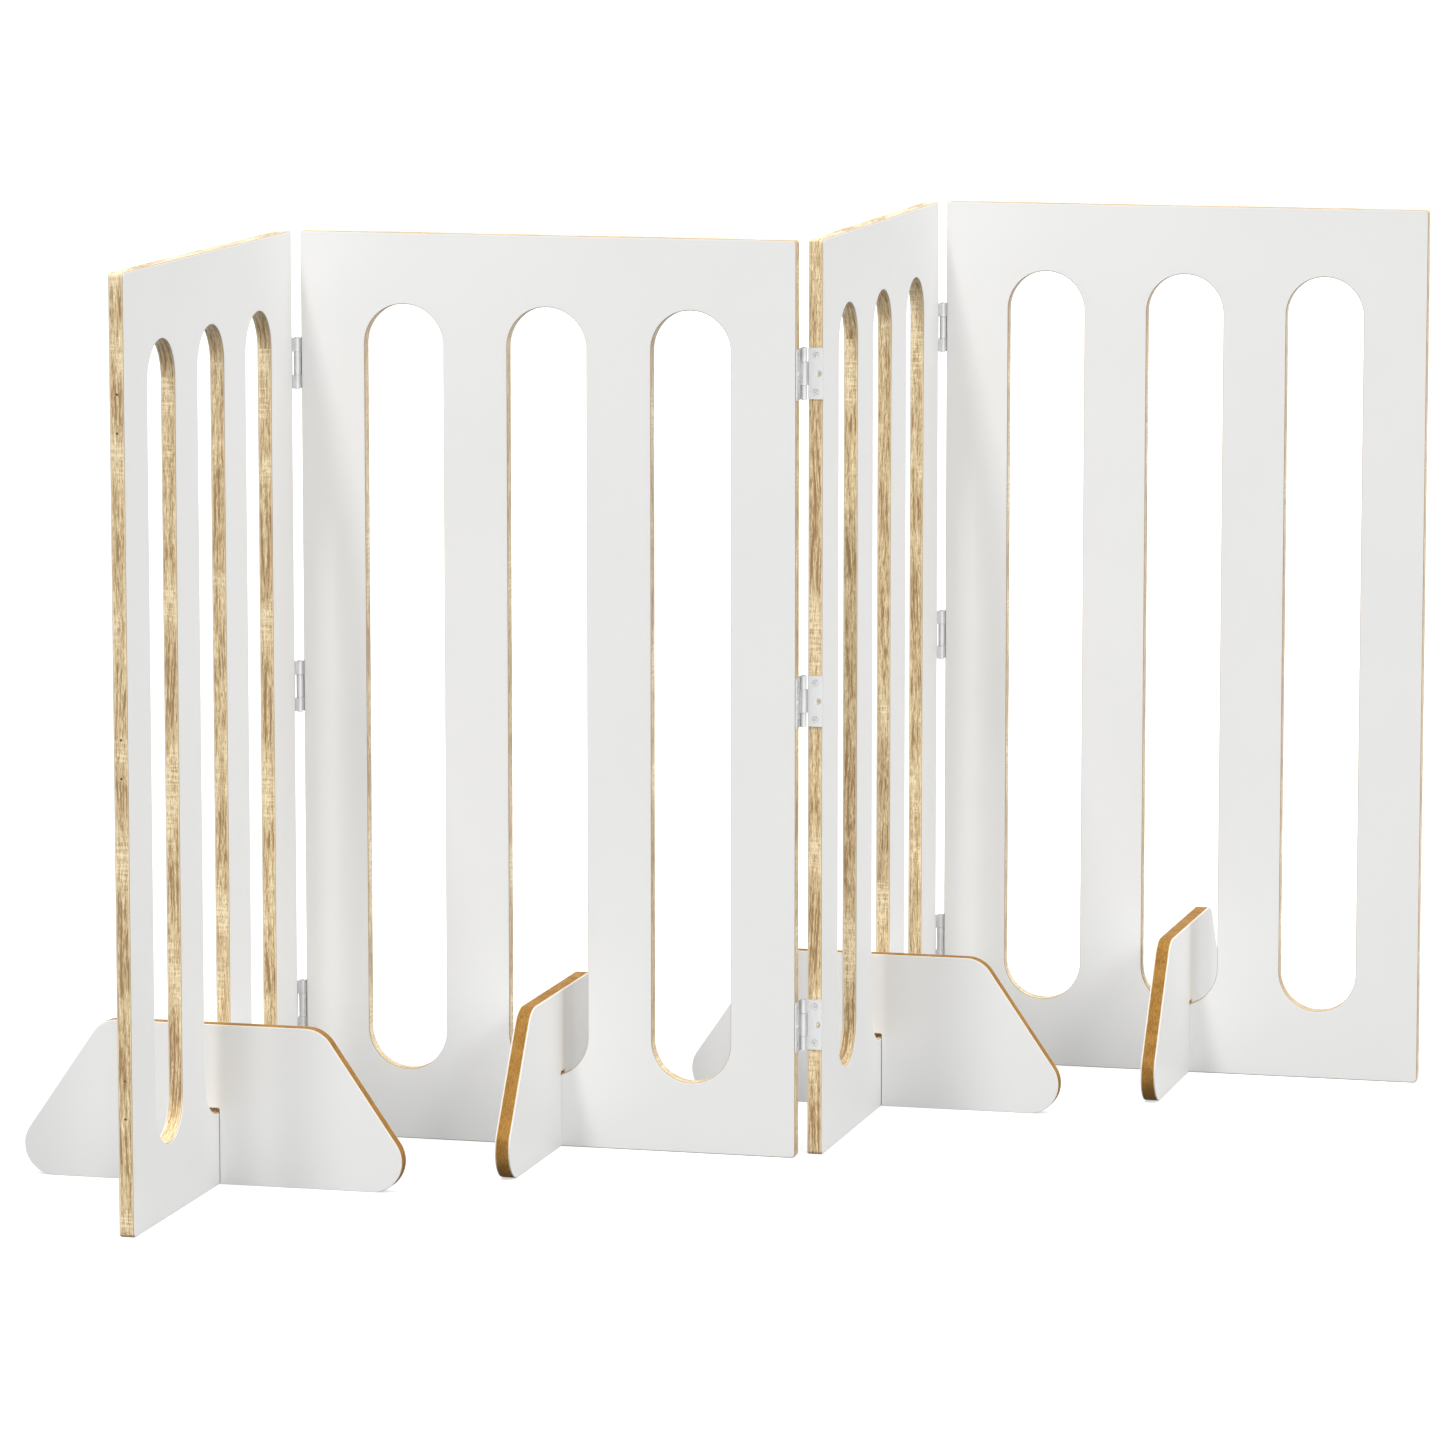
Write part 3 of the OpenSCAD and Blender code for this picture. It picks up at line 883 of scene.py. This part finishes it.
class GATE_OT_feet(bpy.types.Operator):
    """Build the four cross feet: a brown fibreboard core between two white skins"""

    bl_idname = "gate.feet"
    bl_label = "Feet"

    def execute(self, context):
        sizes = context.scene.gate_sizes
        for i in PANELS:
            board = f"foot_{i}_board"
            place = slab_place(f"foot_{i}_near_laminate", board)
            start, end = place.reach(board, 0)
            place.origin = place.origin + (start + end) / 2 * place.axes[0]
            panel = slab_place(f"panel_{i}_front_laminate", f"panel_{i}_board")
            thickness = panel.reach(f"panel_{i}_back_laminate", 1)[1]
            outline = foot_outline(end - start, place.reach(board, 2)[1], thickness, sizes)
            core_look = ("fibre_edge", "foot_board", sizes.foot_rounding, 0.0)
            skin_look = (
                "white_skin", "foot_laminate", sizes.skin_rounding, sizes.foot_skin_inset
            )
            pieces = (
                ("core", board, *core_look),
                ("near_skin", f"foot_{i}_near_laminate", *skin_look),
                ("far_skin", f"foot_{i}_far_laminate", *skin_look),
            )
            for part, node, finish, slot, radius, inset in pieces:
                rows = wall_rows(*place.reach(node, 1), radius, EDGE_SUPPORT, inset)
                shell = Shell()
                carried_outline(shell, *outline, rows, [0, 2, 1], uv_start=FOOT_GRAIN_STEP * i)
                place_piece(
                    shell.copies([place]), f"foot_{i}_{part}", finish_material(finish),
                    f"foot_{i}", slot, node,
                )
        return {"FINISHED"}


def knuckle_outline(barrel, thickness, root):
    """Strap and eye of a knuckle, in (across, depth): the strap's wood side, the outside of
    the roll clockwise round the barrel to just short of the strap, then the inside back."""
    bore = barrel - thickness
    end = math.asin(-bore / barrel) + KNUCKLE_SEAM
    angle = np.linspace(math.pi / 2, math.pi * 2 - end, 44)
    roll = np.stack([np.cos(angle), np.sin(angle)], 1)
    return np.concatenate([[[root, barrel]], barrel * roll, bore * roll[::-1], [[root, bore]]])


def leaf_shell(kind, place, leaf, screw_across, sizes):
    """A hinge leaf in its own frame: a plate of three cells, each round one countersunk hole,
    and the knuckles, each a rolled strap carried up the barrel."""
    width, half = place.reach(leaf, 0)[1], place.reach(leaf, 2)[1]
    barrel = -place.reach(leaf, 1)[0]
    thick, root = sizes.leaf_thickness, barrel + sizes.barrel_gap
    face = barrel - thick
    shank, head = sizes.shank_diameter / 2, sizes.head_diameter / 2
    play = 0.2 * MM
    rows = wall_rows(face, barrel, sizes.leaf_rounding, 0.2 * MM)
    rim, land, softened = head - shank, 0.05 * MM, 0.06 * MM
    cone = np.array([
        [0.0, barrel], [0.0, barrel - land], [rim, face + softened],
        [rim + 0.07 * MM, face], [rim + 0.2 * MM, face],
    ])
    shell = Shell()
    cut = half / 2.8
    for k, (z0, z1) in enumerate([(-half, -cut), (-cut, cut), (cut, half)]):
        middle = (k - 1) * sizes.screw_spacing / 2
        across = screw_across + (sizes.spare_shift if k == 1 else 0.0)
        cell(
            shell, (root, width), (z0, z1), across, (middle, middle), shank + play,
            rows, cone, corner=0.7 * MM, bottom=k == 0, top=k == 2, steps=(7, 4, 7),
        )
    own = (sizes.middle_knuckle - sizes.knuckle_gap) / 2
    end = (2 * half - sizes.middle_knuckle - sizes.knuckle_gap) / 2
    knuckles = [(-own, own)] if kind == "tongue" else [(-half, -half + end), (half - end, half)]
    outline = knuckle_outline(barrel, thick, root + 0.5 * MM)
    for z0, z1 in knuckles:
        carried_outline(
            shell, outline, outline_normals(outline),
            wall_rows(z0, z1, 0.15 * MM, 0.1 * MM), [0, 1, 2],
        )
    return shell


class GATE_OT_hinges(bpy.types.Operator):
    """Build the eighteen hinge leaves with their rolled knuckles and countersunk holes"""

    bl_idname = "gate.hinges"
    bl_label = "Hinge leaves"

    def execute(self, context):
        sizes = context.scene.gate_sizes
        for fold in FOLDS:
            for leaf, pin, panel, kind in hinge_leaves(fold):
                board = f"panel_{panel}_board"
                place = leaf_place(leaf, pin, board)
                across = sum(place.reach(board, 0)) / 2
                shell = leaf_shell(kind, place, leaf, across, sizes)
                place_piece(
                    shell.copies([place]), f"{leaf}_plate", finish_material("zinc_leaf"),
                    f"panel_{panel}", "hinge_leaf", leaf,
                )
        return {"FINISHED"}


class GATE_OT_pins(bpy.types.Operator):
    """Build the nine hinge pins, each with both ends spread into a low dome"""

    bl_idname = "gate.pins"
    bl_label = "Hinge pins"

    def execute(self, context):
        for fold in FOLDS:
            for level in LEVELS:
                pin = f"hinge_{fold}_{level}_pin"
                low, high = corners(pin)
                head, half = (high[0] - low[0]) / 2, (high[2] - low[2]) / 2
                spread, rise, fullness = 0.5 * MM, 1.0 * MM, 0.6
                shank, neck = head - spread, half - rise
                turn = np.linspace(0, math.pi / 2, 8)
                dome = np.stack(
                    [head * np.cos(turn) ** fullness, neck + (half - neck) * np.sin(turn)], 1
                )
                upper = np.concatenate([[[shank, neck]], dome])
                upper[-1, 0] = 0.0
                profile = np.concatenate([upper[::-1] * [1, -1], upper])
                shell = Shell()
                revolve(shell, profile)
                place = Place(centre(pin), np.eye(3)[0], UP, np.eye(3)[1])
                place_piece(
                    shell.copies([place]), f"{pin}_rod", finish_material("bright_pin"),
                    f"panel_{fold[0]}", "hinge_pin", pin,
                )
        return {"FINISHED"}


def cross_bit(reach, width, depth):
    """The driver's cross: one outline with twelve corners, narrowing to a share of its size at
    its bottom."""
    narrowed = 0.55
    w, r = width / 2, reach / 2
    plus = np.array([
        (r, -w), (r, w), (w, w), (w, r), (-w, r), (-w, w),
        (-r, w), (-r, -w), (-w, -w), (-w, -r), (w, -r), (w, -w),
    ])
    taper = np.array([[1.0, -0.5 * MM], [1.0, 0.0], [narrowed, depth]])
    points = plus[None] * taper[:, None, :1]
    level = np.broadcast_to(taper[:, 1:2], points.shape[:2])
    shell = Shell()
    solid = np.stack([points[..., 0], level, points[..., 1]], 2)
    shell.grid(solid, close_columns=True)
    shell.cap(solid[0][::-1], points[0][::-1])
    shell.cap(solid[-1], points[-1])
    return shell.mesh("cross_bit")


def screw_shell(sizes):
    """One countersunk screw, head at depth 0: a flat head with a softened rim on a cone, a
    shank, and a point, with the driver's cross sunk into the head."""
    head, shank, thick = sizes.head_diameter / 2, sizes.shank_diameter / 2, sizes.leaf_thickness
    end, sink, point = sizes.screw_length - 0.05 * MM, 0.05 * MM, 4.0 * MM
    profile = np.array([
        [0, 0], [head - 0.75 * MM, 0.0], [head - 0.25 * MM, 0.03 * MM],
        [head - 0.08 * MM, 0.12 * MM], [shank, thick - sink],
        [shank, sizes.screw_length - point], [0.2 * MM, end], [0, end],
    ])
    whole = Shell()
    revolve(whole, profile, turns=48)
    bit = cross_bit(reach=3.4 * MM, width=0.75 * MM, depth=0.9 * MM)
    solid = difference(whole.mesh("screw_body"), bit)
    shell = Shell()
    points = np.zeros(len(solid.vertices) * 3)
    solid.vertices.foreach_get("co", points)
    shell.add(points.reshape(-1, 3))
    shell.faces = [list(p.vertices) for p in solid.polygons]
    uv = np.zeros(len(solid.loops) * 2)
    solid.uv_layers.active.data.foreach_get("uv", uv)
    shell.uvs = [uv.reshape(-1, 2)]
    return shell


class GATE_OT_screws(bpy.types.Operator):
    """Build the six groups of countersunk screws, each screw turned its own way"""

    bl_idname = "gate.screws"
    bl_label = "Screws"

    def execute(self, context):
        sizes = context.scene.gate_sizes
        one = screw_shell(sizes)
        for fold in FOLDS:
            for kind, n in zip(("fork", "tongue"), fold):
                group, board = f"hinge_{fold}_screws_panel_{n}", f"panel_{n}_board"
                places = []
                for k, level in enumerate(LEVELS):
                    pin = f"hinge_{fold}_{level}_pin"
                    leaf = leaf_place(f"hinge_{fold}_{level}_{kind}_leaf", pin, board)
                    across = sum(leaf.reach(board, 0)) / 2
                    depth = leaf.reach(group, 1)[0]
                    for s in (-1, 1):
                        turn = SCREW_TURN * (2 * k + (s > 0)) + PANEL_TURN * int(n) + FIRST_TURN
                        c, sn = math.cos(turn), math.sin(turn)
                        at = np.array([across, depth, s * sizes.screw_spacing / 2])
                        x, y = leaf.axes[0], leaf.axes[2]
                        places.append(
                            Place(leaf.points(at), c * x + sn * y, leaf.axes[1], c * y - sn * x)
                        )
                place_piece(
                    one.copies(places), f"hinge_{fold}_screw_set_panel_{n}",
                    finish_material("plated_screw"), f"panel_{n}", "screw", group,
                )
        return {"FINISHED"}


def direction_turn(towards):
    """The turn that points an object's +Z towards a direction, with its Y upwards."""
    return Vector(towards).to_track_quat("Z", "Y")


class GATE_OT_stage(bpy.types.Operator):
    """Set the pale floor, the soft light and the camera"""

    bl_idname = "gate.stage"
    bl_label = "Stage"

    def execute(self, context):
        scene = context.scene
        mesh = bpy.data.meshes.new("floor")
        side = 90.0
        outline = [(-side, -side, 0), (side, -side, 0), (side, side, 0), (-side, side, 0)]
        mesh.from_pydata(outline, [], [(0, 1, 2, 3)])
        mesh.materials.append(finish_material("pale_floor"))
        floor = bpy.data.objects.new("floor", mesh)
        scene.collection.objects.link(floor)

        world = bpy.data.worlds.new("soft_white")
        world.use_nodes = True
        tree = world.node_tree
        lit = add_node(tree, "ShaderNodeLightPath").outputs["Is Diffuse Ray"]
        dimmed = math_node(tree, "MULTIPLY", lit, SKY - 1.0)
        background = tree.nodes["Background"]
        background.inputs["Color"].default_value = (1, 1, 1, 1)
        tree.links.new(math_node(tree, "ADD", dimmed, 1.0), background.inputs["Strength"])
        scene.world = world
        for name, (towards, strength, width, shadow) in SUNS.items():
            sun = bpy.data.lights.new(name, "SUN")
            sun.energy, sun.angle, sun.use_shadow = strength, math.radians(width), shadow
            lamp = bpy.data.objects.new(name, sun)
            lamp.visible_glossy = name == "side"
            lamp.rotation_mode = "QUATERNION"
            lamp.rotation_quaternion = direction_turn(towards)
            scene.collection.objects.link(lamp)

        azimuth, elevation, distance = math.radians(14.51), math.radians(8.37), 7.236
        aim_across, aim_height = -0.0129, 0.4126
        back = np.array([
            math.sin(azimuth) * math.cos(elevation),
            -math.cos(azimuth) * math.cos(elevation),
            math.sin(elevation),
        ])
        right = np.array([math.cos(azimuth), math.sin(azimuth), 0.0])
        data = bpy.data.cameras.new("camera")
        data.lens, data.sensor_width = 182.3, 36.0
        data.clip_end = 400.0
        camera = bpy.data.objects.new("camera", data)
        camera.rotation_mode = "QUATERNION"
        camera.location = aim_across * right + aim_height * UP + distance * back
        camera.rotation_quaternion = direction_turn(back)
        scene.collection.objects.link(camera)
        scene.camera = camera
        scene.view_settings.view_transform = "Standard"
        return {"FINISHED"}


class GATE_PT_builder(bpy.types.Panel):
    """Sizes, colours and build buttons of the gate"""

    bl_label = "Folding pet gate"
    bl_space_type = "VIEW_3D"
    bl_region_type = "UI"
    bl_category = "Gate"

    def draw(self, context):
        layout = self.layout
        for group in (context.scene.gate_sizes, context.scene.gate_colours):
            column = layout.column(align=True)
            for name in group.__annotations__:
                column.prop(group, name)
        column = layout.column(align=True)
        for step in STEPS:
            column.operator(step.bl_idname)


STEPS = (
    GATE_OT_stage, GATE_OT_panels, GATE_OT_feet, GATE_OT_hinges, GATE_OT_pins, GATE_OT_screws,
)
CLASSES = (GateSizes, GateColours, *STEPS, GATE_PT_builder)


def register():
    """Registers the classes and hangs the two groups of settings on the scene."""
    for cls in CLASSES:
        bpy.utils.register_class(cls)
    bpy.types.Scene.gate_sizes = PointerProperty(type=GateSizes)
    bpy.types.Scene.gate_colours = PointerProperty(type=GateColours)


def unregister():
    """Takes the settings and the classes away again."""
    del bpy.types.Scene.gate_colours
    del bpy.types.Scene.gate_sizes
    for cls in reversed(CLASSES):
        bpy.utils.unregister_class(cls)


def main():
    """Builds the gate."""
    register()
    bpy.ops.gate.stage()
    bpy.ops.gate.panels()
    bpy.ops.gate.feet()
    bpy.ops.gate.hinges()
    bpy.ops.gate.pins()
    bpy.ops.gate.screws()


if __name__ == "__main__":
    main()
